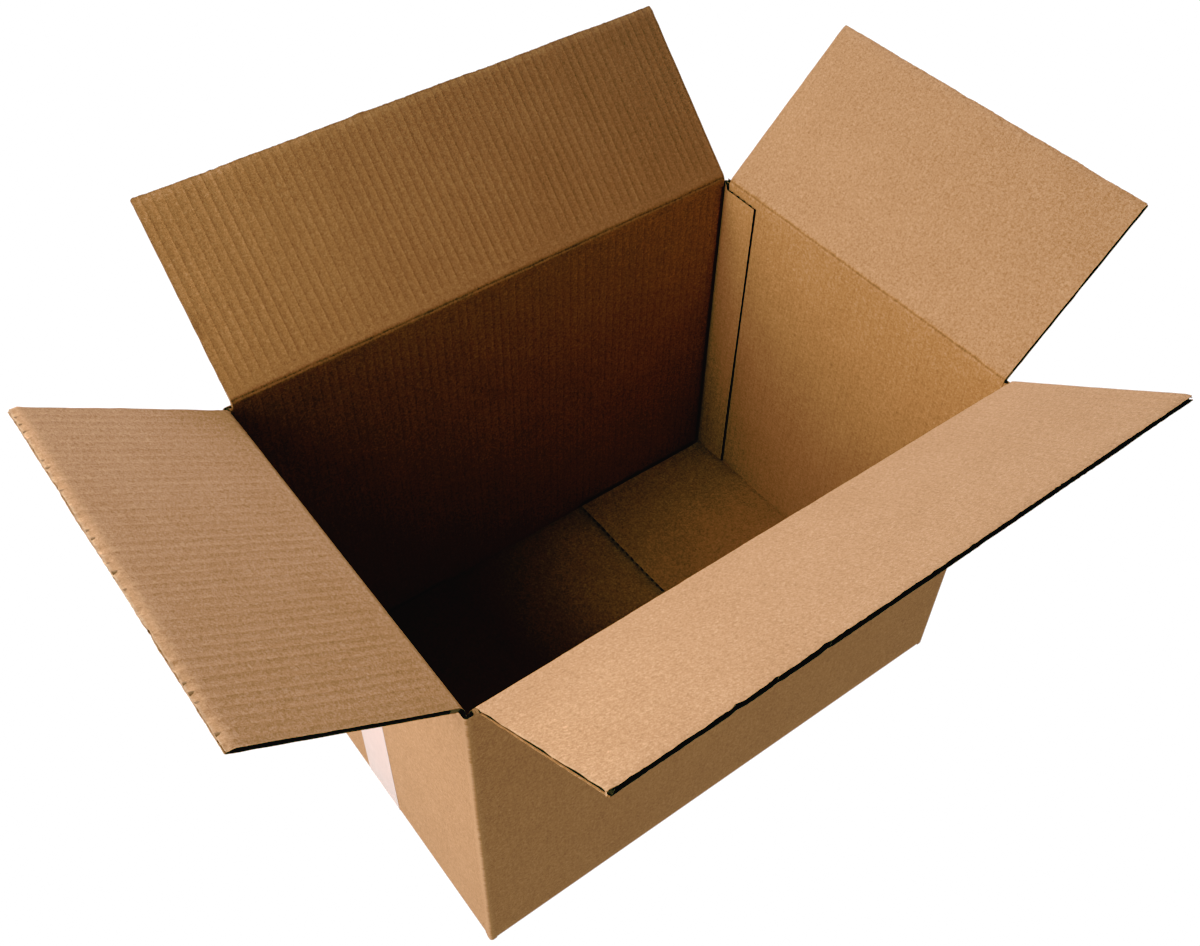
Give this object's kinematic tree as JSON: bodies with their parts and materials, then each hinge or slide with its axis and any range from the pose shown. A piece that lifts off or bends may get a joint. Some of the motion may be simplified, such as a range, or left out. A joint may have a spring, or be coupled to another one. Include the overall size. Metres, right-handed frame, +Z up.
{
  "type": "open cardboard box",
  "caption": "Open corrugated carton standing on its taped bottom, with hinged top flaps folded outward and a glued side joint.",
  "frame": {"origin": "middle of the carton's underside, between its four walls", "axes": "+X along the long walls, +Y to the back long wall, +Z up"},
  "size_m": [0.7204, 0.5557, 0.438],
  "materials": {
    "kraft_board": "uncoated brown kraft liner, matte",
    "packing_tape": "thin tan packing tape, soft gloss"
  },
  "bodies": {
    "carton": {"carton_body": "kraft_board", "sealing_tape": "packing_tape"},
    "back_flap": {"flap_back": "kraft_board"},
    "front_flap": {"flap_front": "kraft_board"},
    "left_flap": {"flap_left": "kraft_board"},
    "right_flap": {"flap_right": "kraft_board"}
  },
  "joints": [
    {"name": "back_crease", "type": "hinge", "parent": "carton", "child": "back_flap", "pos_m": [0, 0.1598, 0.3257], "axis": [-1, 0, 0], "range_deg": [-135.2, 130.8]},
    {"name": "front_crease", "type": "hinge", "parent": "carton", "child": "front_flap", "pos_m": [0, -0.1598, 0.3257], "axis": [1, 0, 0], "range_deg": [-144.7, 121.3]},
    {"name": "left_crease", "type": "hinge", "parent": "carton", "child": "left_flap", "pos_m": [-0.2373, 0, 0.3214], "axis": [0, -1, 0], "range_deg": [-150.1, 117.9]},
    {"name": "right_crease", "type": "hinge", "parent": "carton", "child": "right_flap", "pos_m": [0.2373, 0, 0.3214], "axis": [0, 1, 0], "range_deg": [-139.7, 128.3]}
  ]
}
